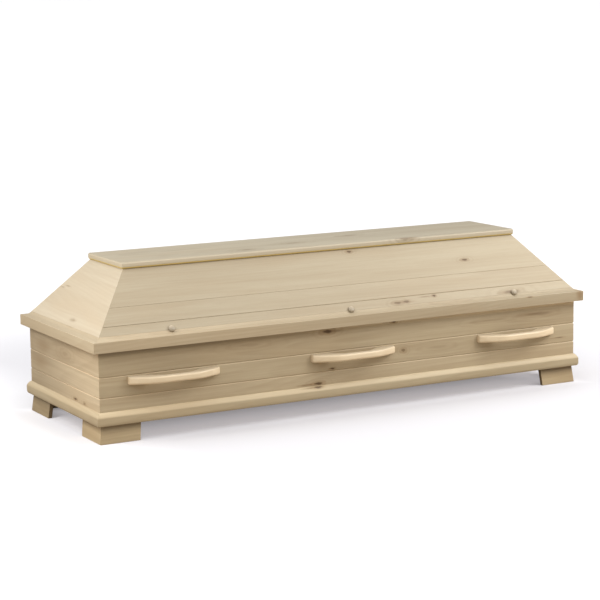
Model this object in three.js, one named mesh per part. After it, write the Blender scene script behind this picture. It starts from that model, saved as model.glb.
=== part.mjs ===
// Plain pine coffin: a panelled box on splayed feet under a hipped lid.
// Units are millimetres. +X runs along the length, -Y is the front long side, +Z is up.
// The origin is on the ground, under the middle of the coffin.

import * as THREE from 'three';

// Plan size over the lid's rim, and heights above the ground.
const RIM_LENGTH = 2050;
const RIM_WIDTH = 694.5;
const TOTAL_HEIGHT = 596;
const FOOT_HEIGHT = 65;
const RIM_BOTTOM = 322;
const RIM_FACE = 38;

// Walls of the box: three courses of boards, all insets measured in from the rim's face.
const WALL_INSET = 26;
const WALL_THICKNESS = 20;
const FLOOR_THICKNESS = 18;
const LOWER_JOINT = 160;
const UPPER_JOINT = 232;
const GROOVE = 3;

// Moulding round the foot of the walls: a rounded top, an upright face, a tucked-in lower edge.
const MOULDING_PROUD = 14.5;
const MOULDING_HEIGHT = 47;
const MOULDING_ROUND = 17;
const MOULDING_TUCK = 5;
const MOULDING_TUCK_HEIGHT = 13;
const MOULDING_ROUND_STEPS = 6;
const MOULDING_TUCK_STEPS = 4;

// Feet: two mitred boards at each corner, leaning out towards the ground.
const FOOT_TOP_INSET = 31;
const FOOT_SPLAY = 7.5;
const FOOT_THICKNESS = 15;
const FOOT_LENGTH_SIDE = 150;
const FOOT_LENGTH_END = 165;
const FOOT_END_SLANT = 7;

// Lid: a coved rim, then panels on one slope up to the flat top board.
const RIM_EDGE_ROUND = 2;
const RIM_FLAT = 11.5;
const COVE_FOOT = 32.5;
const COVE_RISE = 12.5;
const COVE_START_DEGREES = 8;
const COVE_STEPS = 6;
const EDGE_ROUND_STEPS = 2;
const SLOPE_RUN_PER_RISE = 0.843;
const LID_THICKNESS = 18;
const SLOPE_JOINT = 402;
const SLOPE_GROOVE = 458;
const TOP_THICKNESS = 22.5;
const TOP_OVERHANG_END = 7.5;
const TOP_OVERHANG_SIDE = 12;
const TOP_EDGE_ROUND = 7;
const TOP_ROUND_STEPS = 4;

// Bowed grips, three on each long side, and a turned button above each of them.
const GRIP_SPACING = 720;
const GRIP_LENGTH = 346;
const GRIP_CENTRE_HEIGHT = 214.5;
const GRIP_END_HEIGHT = 29;
const GRIP_MIDDLE_HEIGHT = 26;
const GRIP_PROUD = 56;
const GRIP_END_DEPTH = 16;
const GRIP_HAND_DEPTH = 36;
const GRIP_ARCH_START = 0.3;
const GRIP_HAND_END = 0.66;
const GRIP_HAND_FULL = 0.25;
const GRIP_CORNER = 8;
const GRIP_BACK_CORNER = 2;
const GRIP_END_ROUND = 4;
const GRIP_STEPS = 18;
const GRIP_CORNER_STEPS = 3;
// Where each end of a grip rounds over, as shares of the round in from the very end.
const GRIP_END_STATIONS = [0.4, 0.08];

const BUTTON_RADIUS = 12.5;
const BUTTON_NECK_RADIUS = 4.5;
const BUTTON_NECK_HEIGHT = 1.5;
const BUTTON_FOOT_RADIUS = 10.5;
const BUTTON_RIM_HEIGHT = 3.5;
const BUTTON_HEIGHT = 11;
const BUTTON_UP_SLOPE = 3;
const BUTTON_GAP = 0.3;
const BUTTON_SIDES = 20;
const BUTTON_DOME_STEPS = 5;

const HALF_LENGTH = RIM_LENGTH / 2;
const HALF_WIDTH = RIM_WIDTH / 2;
const RIM_TOP = RIM_BOTTOM + RIM_FACE;
const COVE_TOP = RIM_TOP + COVE_RISE;
const TOP_UNDERSIDE = TOTAL_HEIGHT - TOP_THICKNESS;
const WALL_INNER = WALL_INSET + WALL_THICKNESS;
const WALL_FACE_Y = HALF_WIDTH - WALL_INSET;

// Section points are kept on a fine grid, so that mitred faces meet exactly in 32-bit numbers.
const GRID = 1 / 64;
const snap = (value) => Math.round(value / GRID) * GRID;

// The outward normal and the direction up the lid's slope, as [inset, height].
const SLOPE_STRIDE = Math.hypot(SLOPE_RUN_PER_RISE, 1);
const SLOPE_UP = [SLOPE_RUN_PER_RISE / SLOPE_STRIDE, 1 / SLOPE_STRIDE];
const SLOPE_OUT = [-SLOPE_UP[1], SLOPE_UP[0]];

const PINE = {
  wall: { color: 0xbfa67c, roughness: 0.62 },
  moulding: { color: 0xc2a982, roughness: 0.6 },
  foot: { color: 0xb39a70, roughness: 0.68 },
  rim: { color: 0xcdb68e, roughness: 0.58 },
  lid: { color: 0xdac8a0, roughness: 0.56 },
  top: { color: 0xd0c2a2, roughness: 0.56 },
  floor: { color: 0xc4ad84, roughness: 0.7 },
  beech: { color: 0xe6d0aa, roughness: 0.5 },
};

function material(finish) {
  return new THREE.MeshStandardMaterial({ ...PINE[finish], metalness: 0 });
}

// Six times the volume that a closed triangle mesh holds; negative when its faces point inwards.
function signedVolume(points, triangles) {
  let total = 0;
  for (const [a, b, c] of triangles) {
    total += points[a].dot(new THREE.Vector3().crossVectors(points[b], points[c]));
  }
  return total;
}

// A closed body from points and triangles, turned so that its faces point outwards.
function closedGeometry(points, triangles) {
  const inward = signedVolume(points, triangles) < 0;
  const faces = inward ? triangles.map(([a, b, c]) => [a, c, b]) : triangles;
  const geometry = new THREE.BufferGeometry();
  geometry.setAttribute('position', new THREE.Float32BufferAttribute(points.flatMap((p) => p.toArray()), 3));
  geometry.setIndex(faces.flat());
  geometry.computeVertexNormals();
  return geometry;
}

// Joins rings of equal length, one after another, and closes the first and the last with a cap.
function loftGeometry(rings, capOutline) {
  const count = rings[0].length;
  const points = rings.flat();
  const triangles = [];
  for (let ring = 0; ring + 1 < rings.length; ring += 1) {
    for (let i = 0; i < count; i += 1) {
      const a = ring * count + i;
      const b = ring * count + ((i + 1) % count);
      triangles.push([a, b, b + count], [a, b + count, a + count]);
    }
  }
  const cap = THREE.ShapeUtils.triangulateShape(capOutline, []);
  const last = (rings.length - 1) * count;
  for (const [a, b, c] of cap) {
    triangles.push([a, c, b], [a + last, b + last, c + last]);
  }
  return closedGeometry(points, triangles);
}

function counterClockwise(outline) {
  const flat = outline.map(([x, y]) => new THREE.Vector2(x, y));
  return THREE.ShapeUtils.isClockWise(flat) ? flat.reverse() : flat;
}

// Where a section point [inset, z] lies on each side; end is -1 or +1 along that side.
const SIDES = {
  front: (inset, z, end) => new THREE.Vector3(end * (HALF_LENGTH - inset), -(HALF_WIDTH - inset), z),
  back: (inset, z, end) => new THREE.Vector3(end * (HALF_LENGTH - inset), HALF_WIDTH - inset, z),
  left: (inset, z, end) => new THREE.Vector3(-(HALF_LENGTH - inset), end * (HALF_WIDTH - inset), z),
  right: (inset, z, end) => new THREE.Vector3(HALF_LENGTH - inset, end * (HALF_WIDTH - inset), z),
};

// A board or rail along one side of the plan, its section [inset, z] mitred at both corners.
function mitredRail(section, side) {
  const outline = counterClockwise(section.map(([inset, z]) => [snap(inset), snap(z)]));
  const rings = [-1, 1].map((end) => outline.map((p) => SIDES[side](p.x, p.y, end)));
  return loftGeometry(rings, outline);
}

// Points of an elliptical quarter turn about a centre, from angle to angle in degrees.
function arcPoints(centre, radii, from, to, steps) {
  return Array.from({ length: steps + 1 }, (_, i) => {
    const angle = THREE.MathUtils.degToRad(from + ((to - from) * i) / steps);
    return [centre[0] + radii[0] * Math.cos(angle), centre[1] + radii[1] * Math.sin(angle)];
  });
}

const smooth = (value) => {
  const t = THREE.MathUtils.clamp(value, 0, 1);
  return t * t * (3 - 2 * t);
};

const part = new THREE.Group();
part.name = 'coffin';

function addPiece(name, geometry, finish) {
  const mesh = new THREE.Mesh(geometry, material(finish));
  mesh.name = name;
  part.add(mesh);
  return mesh;
}

// Section of one wall board, its outer corners taken off where a grooved joint lies.
function wallSection(low, high, grooveBelow, grooveAbove) {
  const outer = [];
  if (grooveBelow) outer.push([WALL_INSET + GROOVE, low], [WALL_INSET, low + GROOVE]);
  else outer.push([WALL_INSET, low]);
  if (grooveAbove) outer.push([WALL_INSET, high - GROOVE], [WALL_INSET + GROOVE, high]);
  else outer.push([WALL_INSET, high]);
  return [...outer, [WALL_INNER, high], [WALL_INNER, low]];
}

function addWalls() {
  const courses = {
    lower: wallSection(FOOT_HEIGHT, LOWER_JOINT, false, true),
    middle: wallSection(LOWER_JOINT, UPPER_JOINT, true, true),
    upper: wallSection(UPPER_JOINT, RIM_BOTTOM, true, false),
  };
  for (const side of Object.keys(SIDES)) {
    for (const [course, section] of Object.entries(courses)) {
      addPiece(`${side}_wall_${course}_board`, mitredRail(section, side), 'wall');
    }
  }
  const length = 2 * (HALF_LENGTH - WALL_INNER);
  const width = 2 * (HALF_WIDTH - WALL_INNER);
  const floor = addPiece('floor_panel', new THREE.BoxGeometry(length, width, FLOOR_THICKNESS), 'floor');
  floor.position.z = FOOT_HEIGHT + FLOOR_THICKNESS / 2;
}

// The moulding's section: wall side, rounded shoulder, face, and the tuck under it.
function mouldingSection() {
  const top = FOOT_HEIGHT + MOULDING_HEIGHT;
  const shoulderCentre = [WALL_INSET, top - MOULDING_ROUND];
  const shoulder = arcPoints(shoulderCentre, [MOULDING_PROUD, MOULDING_ROUND], 90, 180, MOULDING_ROUND_STEPS);
  const faceInset = WALL_INSET - MOULDING_PROUD;
  const tuckCentre = [faceInset + MOULDING_TUCK, FOOT_HEIGHT + MOULDING_TUCK_HEIGHT];
  const tuck = arcPoints(tuckCentre, [MOULDING_TUCK, MOULDING_TUCK_HEIGHT], 180, 270, MOULDING_TUCK_STEPS);
  return [...shoulder, ...tuck, [WALL_INSET, FOOT_HEIGHT]];
}

function addMoulding() {
  for (const side of Object.keys(SIDES)) {
    addPiece(`${side}_base_moulding`, mitredRail(mouldingSection(), side), 'moulding');
  }
}

// One foot board: mitred at the corner, cut on a slant at its inner end.
// alongX tells whether it runs along the length; signX and signY name the corner.
function footBoard(signX, signY, alongX) {
  const topInset = FOOT_TOP_INSET;
  const lowInset = FOOT_TOP_INSET - FOOT_SPLAY;
  const outline = counterClockwise([
    [topInset, FOOT_HEIGHT],
    [lowInset, 0],
    [lowInset + FOOT_THICKNESS, 0],
    [topInset + FOOT_THICKNESS, FOOT_HEIGHT],
  ]);
  const half = alongX ? HALF_LENGTH : HALF_WIDTH;
  const length = alongX ? FOOT_LENGTH_SIDE : FOOT_LENGTH_END;
  const innerEnd = (z) => half - lowInset - length - (FOOT_END_SLANT * z) / FOOT_HEIGHT;
  const corner = outline.map(({ x: inset, y: z }) => (
    new THREE.Vector3(signX * (HALF_LENGTH - inset), signY * (HALF_WIDTH - inset), z)));
  const inner = outline.map(({ x: inset, y: z }) => (alongX
    ? new THREE.Vector3(signX * innerEnd(z), signY * (HALF_WIDTH - inset), z)
    : new THREE.Vector3(signX * (HALF_LENGTH - inset), signY * innerEnd(z), z)));
  return loftGeometry([corner, inner], outline);
}

function addFeet() {
  for (const [ySide, signY] of [['front', -1], ['back', 1]]) {
    for (const [xSide, signX] of [['left', -1], ['right', 1]]) {
      addPiece(`${ySide}_${xSide}_foot_side_board`, footBoard(signX, signY, true), 'foot');
      addPiece(`${ySide}_${xSide}_foot_end_board`, footBoard(signX, signY, false), 'foot');
    }
  }
}

// The point of the lid's slope at a height, on its outer face or sunk in by a depth.
function slopePoint(z, depth = 0) {
  const inset = COVE_FOOT + (z - COVE_TOP) * SLOPE_RUN_PER_RISE;
  return [inset - depth * SLOPE_OUT[0], z - depth * SLOPE_OUT[1]];
}

// A concave arc that leaves the rim's flat at a shallow angle and ends on the cove's top edge.
function covePoints() {
  const chordAngle = Math.atan2(COVE_RISE, COVE_FOOT - RIM_FLAT);
  const chord = Math.hypot(COVE_RISE, COVE_FOOT - RIM_FLAT);
  const start = THREE.MathUtils.degToRad(COVE_START_DEGREES);
  const halfTurn = chordAngle - start;
  const radius = chord / (2 * Math.sin(halfTurn));
  return Array.from({ length: COVE_STEPS + 1 }, (_, i) => {
    const turned = start + (2 * halfTurn * i) / COVE_STEPS;
    return [
      RIM_FLAT + radius * (Math.sin(turned) - Math.sin(start)),
      RIM_TOP + radius * (Math.cos(start) - Math.cos(turned)),
    ];
  });
}

// The rim sits on the walls and carries the lowest lid panel on its slanted inner face.
function rimSection() {
  const edgeCentre = [RIM_EDGE_ROUND, RIM_TOP - RIM_EDGE_ROUND];
  const edge = arcPoints(edgeCentre, [RIM_EDGE_ROUND, RIM_EDGE_ROUND], 180, 90, EDGE_ROUND_STEPS);
  const seat = slopePoint(COVE_TOP, LID_THICKNESS);
  return [[0, RIM_BOTTOM], ...edge, ...covePoints(), seat, [seat[0], RIM_BOTTOM]];
}

// A lid panel between two heights on the slope; a groove takes off the outer edge at a joint.
function panelSection(low, high, grooveBelow, grooveAbove) {
  const outer = [];
  if (grooveBelow) outer.push(slopePoint(low, GROOVE), alongSlope(low, GROOVE));
  else outer.push(slopePoint(low));
  if (grooveAbove) outer.push(alongSlope(high, -GROOVE), slopePoint(high, GROOVE));
  else outer.push(slopePoint(high));
  const flatTop = high === TOP_UNDERSIDE;
  const innerTop = flatTop ? innerAtHeight(high) : slopePoint(high, LID_THICKNESS);
  return [...outer, innerTop, slopePoint(low, LID_THICKNESS)];
}

function alongSlope(z, distance) {
  const [inset, height] = slopePoint(z);
  return [inset + distance * SLOPE_UP[0], height + distance * SLOPE_UP[1]];
}

// The inner face of the panels at a height, where the top board lies on their level ends.
function innerAtHeight(z) {
  const inset = COVE_FOOT + (z - COVE_TOP) * SLOPE_RUN_PER_RISE + LID_THICKNESS * SLOPE_STRIDE;
  return [inset, z];
}

function addLid() {
  for (const side of Object.keys(SIDES)) {
    addPiece(`${side}_lid_rim`, mitredRail(rimSection(), side), 'rim');
  }
  const boards = {
    lower: panelSection(COVE_TOP, SLOPE_JOINT, false, true),
    middle: panelSection(SLOPE_JOINT, SLOPE_GROOVE, true, true),
    upper: panelSection(SLOPE_GROOVE, TOP_UNDERSIDE, true, false),
  };
  for (const side of ['front', 'back']) {
    for (const [course, section] of Object.entries(boards)) {
      addPiece(`${side}_lid_${course}_board`, mitredRail(section, side), 'lid');
    }
  }
  for (const side of ['left', 'right']) {
    const panel = panelSection(COVE_TOP, TOP_UNDERSIDE, false, false);
    addPiece(`${side}_lid_end_panel`, mitredRail(panel, side), 'lid');
  }
}

// The flat board that closes the lid: level rectangles stacked up through its rounded edge.
function addTopBoard() {
  const slopeTop = slopePoint(TOP_UNDERSIDE)[0];
  const halfLength = HALF_LENGTH - slopeTop + TOP_OVERHANG_END;
  const halfWidth = HALF_WIDTH - slopeTop + TOP_OVERHANG_SIDE;
  const round = [TOP_EDGE_ROUND, TOP_EDGE_ROUND];
  const low = arcPoints([TOP_EDGE_ROUND, TOP_UNDERSIDE + TOP_EDGE_ROUND], round, 270, 180, TOP_ROUND_STEPS);
  const high = arcPoints([TOP_EDGE_ROUND, TOTAL_HEIGHT - TOP_EDGE_ROUND], round, 180, 90, TOP_ROUND_STEPS);
  const corners = [[-1, -1], [1, -1], [1, 1], [-1, 1]];
  const rings = [...low, ...high].map(([inset, z]) => corners.map(([x, y]) => (
    new THREE.Vector3(x * (halfLength - inset), y * (halfWidth - inset), z))));
  const outline = corners.map(([x, y]) => new THREE.Vector2(x, y));
  addPiece('lid_top_board', loftGeometry(rings, outline), 'top');
}

// Depths of a grip's front and back face, off the wall, at a share of its half length.
function gripDepths(share) {
  const arch = THREE.MathUtils.clamp((share - GRIP_ARCH_START) / (1 - GRIP_ARCH_START), 0, 1);
  const front = GRIP_END_DEPTH + (GRIP_PROUD - GRIP_END_DEPTH) * Math.cos((arch * Math.PI) / 2);
  const back = GRIP_HAND_DEPTH * smooth((GRIP_HAND_END - share) / (GRIP_HAND_END - GRIP_HAND_FULL));
  return { front, back };
}

// One cross-section of a grip at x: a block between its back and front, its corners rounded.
function gripOutline(x) {
  const half = GRIP_LENGTH / 2;
  const share = Math.abs(x) / half;
  const { front, back } = gripDepths(share);
  const endCut = Math.max(0, Math.abs(x) - (half - GRIP_END_ROUND));
  const trim = GRIP_END_ROUND - Math.sqrt(GRIP_END_ROUND ** 2 - endCut ** 2);
  const taper = (GRIP_END_HEIGHT - GRIP_MIDDLE_HEIGHT) * share ** 2;
  const high = (GRIP_MIDDLE_HEIGHT + taper) / 2 - trim;
  const out = front - trim;
  const corner = Math.min(GRIP_CORNER, out - back - GRIP_BACK_CORNER);
  const radii = [corner, corner];
  return [
    ...arcPoints([out - corner, high - corner], radii, 0, 90, GRIP_CORNER_STEPS),
    [back + GRIP_BACK_CORNER, high],
    [back, high - GRIP_BACK_CORNER],
    [back, -high + GRIP_BACK_CORNER],
    [back + GRIP_BACK_CORNER, -high],
    ...arcPoints([out - corner, -high + corner], radii, 270, 360, GRIP_CORNER_STEPS),
  ];
}

// Stations along a grip: even steps, with more where each end rounds over.
function gripStations() {
  const half = GRIP_LENGTH / 2;
  const full = half - GRIP_END_ROUND;
  const even = Array.from({ length: GRIP_STEPS + 1 }, (_, i) => -full + (2 * full * i) / GRIP_STEPS);
  const ends = GRIP_END_STATIONS.map((share) => half - GRIP_END_ROUND * share);
  return [...ends.map((x) => -x).reverse(), ...even, ...ends];
}

function gripGeometry(centreX, signY) {
  const rings = gripStations().map((x) => gripOutline(x).map(([depth, height]) => (
    new THREE.Vector3(centreX + x, signY * (WALL_FACE_Y + depth), GRIP_CENTRE_HEIGHT + height))));
  const outline = gripOutline(gripStations()[0]).map(([depth, height]) => new THREE.Vector2(depth, height));
  return loftGeometry(rings, outline);
}

// A turned button: a short spigot under a domed cap, spun about its own axis.
function buttonGeometry() {
  const domeRadii = [BUTTON_RADIUS, BUTTON_HEIGHT - BUTTON_RIM_HEIGHT];
  const dome = arcPoints([0, BUTTON_RIM_HEIGHT], domeRadii, 0, 90, BUTTON_DOME_STEPS);
  const profile = [
    [0, 0],
    [BUTTON_NECK_RADIUS, 0],
    [BUTTON_NECK_RADIUS, BUTTON_NECK_HEIGHT],
    [BUTTON_FOOT_RADIUS, BUTTON_NECK_HEIGHT],
    ...dome.slice(0, -1),
    [0, BUTTON_HEIGHT],
  ];
  return new THREE.LatheGeometry(profile.map(([r, h]) => new THREE.Vector2(r, h)), BUTTON_SIDES);
}

function addGripsAndButtons() {
  const places = [['left', -GRIP_SPACING], ['centre', 0], ['right', GRIP_SPACING]];
  const [inset, height] = alongSlope(COVE_TOP, BUTTON_UP_SLOPE);
  for (const [ySide, signY] of [['front', -1], ['back', 1]]) {
    const normal = new THREE.Vector3(0, -signY * SLOPE_OUT[0], SLOPE_OUT[1]);
    const turn = new THREE.Quaternion().setFromUnitVectors(new THREE.Vector3(0, 1, 0), normal);
    for (const [xSide, x] of places) {
      addPiece(`${ySide}_${xSide}_grip`, gripGeometry(x, signY), 'beech');
      const button = addPiece(`${ySide}_${xSide}_lid_button`, buttonGeometry(), 'beech');
      button.quaternion.copy(turn);
      button.position.set(x, signY * (HALF_WIDTH - inset), height).addScaledVector(normal, BUTTON_GAP);
    }
  }
}

addWalls();
addMoulding();
addFeet();
addLid();
addTopBoard();
addGripsAndButtons();

export default part;
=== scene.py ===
"""The looks of a plain pine coffin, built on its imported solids.

Finer surfaces stand for the boards, rails, grips and buttons, each in the place of its solid, in
procedural pine and beech. A white floor, soft light and the photograph's camera go with them.
"""
import logging
import math
from dataclasses import dataclass
from enum import Enum

import bpy
import numpy as np
from mathutils import Matrix, Vector


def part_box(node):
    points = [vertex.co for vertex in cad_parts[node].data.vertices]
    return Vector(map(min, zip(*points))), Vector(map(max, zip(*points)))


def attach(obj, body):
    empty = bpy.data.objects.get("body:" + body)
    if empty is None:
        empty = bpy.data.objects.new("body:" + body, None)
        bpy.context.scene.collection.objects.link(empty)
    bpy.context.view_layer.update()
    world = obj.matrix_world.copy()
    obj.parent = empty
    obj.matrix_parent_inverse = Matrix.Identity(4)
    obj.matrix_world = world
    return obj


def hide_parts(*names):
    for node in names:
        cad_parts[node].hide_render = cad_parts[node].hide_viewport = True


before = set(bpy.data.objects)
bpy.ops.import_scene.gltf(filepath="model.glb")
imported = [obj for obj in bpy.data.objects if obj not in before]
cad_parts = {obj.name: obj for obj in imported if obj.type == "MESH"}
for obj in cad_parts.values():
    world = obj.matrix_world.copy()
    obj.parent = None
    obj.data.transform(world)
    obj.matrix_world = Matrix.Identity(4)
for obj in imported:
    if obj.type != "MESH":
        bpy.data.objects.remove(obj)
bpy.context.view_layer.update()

log = logging.getLogger("coffin")

MM = 0.001
BODY = "root"
COVE_RISE = 12.5 * MM
ARRIS = 0.8 * MM
ARRIS_ANGLE = math.radians(32)
SMOOTH_ANGLE = math.radians(32)

Colour = tuple[float, float, float]
Point = tuple[float, float, float]
Socket = bpy.types.NodeSocket
Material = bpy.types.Material
X_AXIS: Point = (1, 0, 0)
Y_AXIS: Point = (0, 1, 0)
Z_AXIS: Point = (0, 0, 1)


class Side(Enum):
    """A side of the coffin: its word in a node's name, and the way that it faces in plan."""

    FRONT = ("front", 0, -1)
    BACK = ("back", 0, 1)
    LEFT = ("left", -1, 0)
    RIGHT = ("right", 1, 0)

    @property
    def word(self) -> str:
        """The side's word in the names of its nodes."""
        return self.value[0]

    @property
    def long(self) -> bool:
        """True for the two long sides."""
        return self.value[1] == 0

    @property
    def sign(self) -> int:
        """Which way the side faces along its own axis, -1 or +1."""
        return self.value[1] + self.value[2]


LONG_SIDES = (Side.FRONT, Side.BACK)
END_SIDES = (Side.LEFT, Side.RIGHT)


class Course(Enum):
    """A course of boards, counted from below."""

    LOWER = "lower"
    MIDDLE = "middle"
    UPPER = "upper"


class Place(Enum):
    """Where a grip or a button is along its long side."""

    LEFT = "left"
    CENTRE = "centre"
    RIGHT = "right"


class Rail(Enum):
    """A kind of rail that runs round the plan."""

    MOULDING = "moulding"
    RIM = "rim"


class LampKind(Enum):
    """A kind of light, by Blender's name for it: one without a place, and a round one."""

    OPEN_SKY = "SUN"
    DISC = "AREA"


class Grain(Enum):
    """The axis of the frame that a board's grain runs along, as the turn that brings it onto X."""

    ALONG_X = 0.0
    ALONG_Y = -math.pi / 2


def smoothstep(value: np.ndarray) -> np.ndarray:
    """The curve 3t² - 2t³ of a value held between 0 and 1."""
    t = np.clip(value, 0.0, 1.0)
    return t * t * (3 - 2 * t)


def arc(centre: tuple[float, float], radii: tuple[float, float], start: float, end: float,
        steps: int) -> np.ndarray:
    """Points of a quarter of an ellipse: centre + radii * (cos a, sin a), a going evenly from start to end.

    Args:
        centre: the middle of the ellipse.
        radii: its half axes.
        start: the first angle, in degrees.
        end: the last angle, in degrees.
        steps: how many stretches the arc has.

    Returns:
        An array of steps + 1 points.
    """
    angle = np.radians(np.linspace(start, end, steps + 1))
    return np.stack([centre[0] + radii[0] * np.cos(angle), centre[1] + radii[1] * np.sin(angle)], axis=1)


def outward(points: np.ndarray, quads: np.ndarray, caps: list[np.ndarray]) -> bool:
    """Tells whether a closed surface's faces point outwards, from the sign of the volume that they hold.

    Args:
        points: the vertices.
        quads: the four-sided faces.
        caps: the two end faces.

    Returns:
        True if the volume is positive.
    """
    middle = points.mean(axis=0)
    fans = [quads[:, [0, 1, 2]], quads[:, [0, 2, 3]]]
    fans += [np.stack([np.full(len(c) - 2, c[0]), c[1:-1], c[2:]], axis=1) for c in caps]
    triangles = points[np.concatenate(fans)] - middle
    volume = np.einsum("ij,ij->i", triangles[:, 0], np.cross(triangles[:, 1], triangles[:, 2])).sum()
    return bool(volume > 0)


def tube(name: str, grid: np.ndarray) -> bpy.types.Object:
    """A closed body from a grid of points: each row is a ring, and the first and last ring are capped.

    Args:
        name: the new object's name.
        grid: points of shape (rings, points in a ring, 3), in metres.

    Returns:
        The new object, at the origin, with its place in its mesh.
    """
    rings, count = grid.shape[:2]
    points = grid.reshape(-1, 3)
    ring = np.arange(rings - 1)[:, None] * count
    here = np.arange(count)[None, :]
    after = (here + 1) % count
    corners = [ring + here, ring + after, ring + after + count, ring + here + count]
    quads = np.stack(corners, axis=2).reshape(-1, 4)
    caps = [np.arange(count)[::-1], np.arange(count) + (rings - 1) * count]
    if not outward(points, quads, caps):
        quads = quads[:, ::-1]
        caps = [c[::-1] for c in caps]
    mesh = bpy.data.meshes.new(name)
    mesh.from_pydata(points.tolist(), [], quads.tolist() + [c.tolist() for c in caps])
    mesh.shade_smooth()
    mesh.set_sharp_from_angle(angle=SMOOTH_ANGLE)
    piece = bpy.data.objects.new(name, mesh)
    bpy.context.scene.collection.objects.link(piece)
    return piece


def soften(piece: bpy.types.Object, width: float = ARRIS, segments: int = 2) -> None:
    """Takes the sharp arrises off a piece.

    Args:
        piece: the object to finish.
        width: how wide the arris is, in metres.
        segments: how many faces it has.
    """
    bevel = piece.modifiers.new("arris", "BEVEL")
    bevel.width = width
    bevel.segments = segments
    bevel.limit_method = "ANGLE"
    bevel.angle_limit = ARRIS_ANGLE
    bevel.harden_normals = True


def stand_for(piece: bpy.types.Object, node: str, material: Material) -> None:
    """Puts a finished piece in the place of a solid.

    Args:
        piece: the finished object.
        node: the solid that it stands for.
        material: its finish.
    """
    piece.data.materials.append(material)
    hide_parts(node)
    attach(piece, BODY)
    log.info("%s: %d faces", node, len(piece.data.polygons))


@dataclass(frozen=True)
class Plan:
    """The coffin's plan and heights in metres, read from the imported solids."""

    half_length: float
    half_width: float
    rim_low: float
    rim_top: float
    wall_inset: float
    wall_inner: float
    foot_height: float
    joints: tuple[float, float]
    crease: float
    slope_joints: tuple[float, float]
    slope_top: float
    total: float

    @classmethod
    def from_frame(cls) -> "Plan":
        """Reads the driving sizes from the boxes of the rim, the wall boards, the lid boards and the top.

        Returns:
            The plan.
        """
        rim_low, rim_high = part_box("front_lid_rim")
        end_low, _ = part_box("left_lid_rim")
        wall_low, wall_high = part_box("front_wall_lower_board")
        upper_low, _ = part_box("front_wall_upper_board")
        _, lid_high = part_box("front_lid_lower_board")
        _, middle_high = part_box("front_lid_middle_board")
        top_low, top_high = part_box("lid_top_board")
        half_width = -rim_low.y
        return cls(
            half_length=-end_low.x,
            half_width=half_width,
            rim_low=rim_low.z,
            rim_top=rim_high.z - COVE_RISE,
            wall_inset=half_width + wall_low.y,
            wall_inner=half_width + wall_high.y,
            foot_height=wall_low.z,
            joints=(wall_high.z, upper_low.z),
            crease=rim_high.z,
            slope_joints=(lid_high.z, middle_high.z),
            slope_top=top_low.z,
            total=top_high.z,
        )

    def place(self, side: Side, section: np.ndarray) -> np.ndarray:
        """Where a section's points lie at the two ends of a side.

        At share s along the side, -1 or 1, a point lies at s * (half length - inset) on the side's own
        axis and at half width - inset away from the middle, so the corners are true mitres.

        Args:
            side: the side of the coffin.
            section: the points, as inset from the rim's face and height.

        Returns:
            Points of shape (2, section points, 3).
        """
        share = np.array([[-1.0], [1.0]])
        out_x, out_y = self.half_length - section[:, 0], self.half_width - section[:, 0]
        z = np.broadcast_to(section[:, 1], (len(share), len(section)))
        if side.long:
            return np.stack([share * out_x, np.broadcast_to(side.sign * out_y, z.shape), z], axis=2)
        return np.stack([np.broadcast_to(side.sign * out_x, z.shape), share * out_y, z], axis=2)

    def rail(self, name: str, side: Side, section: np.ndarray, arris: float = ARRIS) -> bpy.types.Object:
        """A section carried along a side from mitre to mitre.

        Args:
            name: the piece's name.
            side: the side of the coffin.
            section: the points, as inset and height.
            arris: how wide its soft arrises are.

        Returns:
            The new piece.
        """
        piece = tube(name, self.place(side, section))
        soften(piece, arris)
        return piece


@dataclass(frozen=True)
class Knot:
    """A knot in a board, with its sizes in millimetres.

    centre is its place in the frame, along and across are its half sizes by the grain, and dark is how
    strong its heart is. ring leaves the middle of the heart pale, bulge is how far the grain bends round
    it, and swirl is how strong the lines round it are. tail is the length of a stain along the grain, to
    the left where it is negative, and tail_dark its strength.
    """

    centre: Point
    along: float
    across: float
    dark: float = 0.8
    ring: float = 0.0
    bulge: float = 0.5
    tail: float = 0.0
    tail_dark: float = 0.5
    swirl: float = 0.3


@dataclass(frozen=True)
class Streak:
    """Noise drawn out along the grain: its clouds in a metre each way, its finer layers, and its weight."""

    along: float
    across: float
    detail: float = 2.0
    roughness: float = 0.5
    weight: float = 0.0


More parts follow.
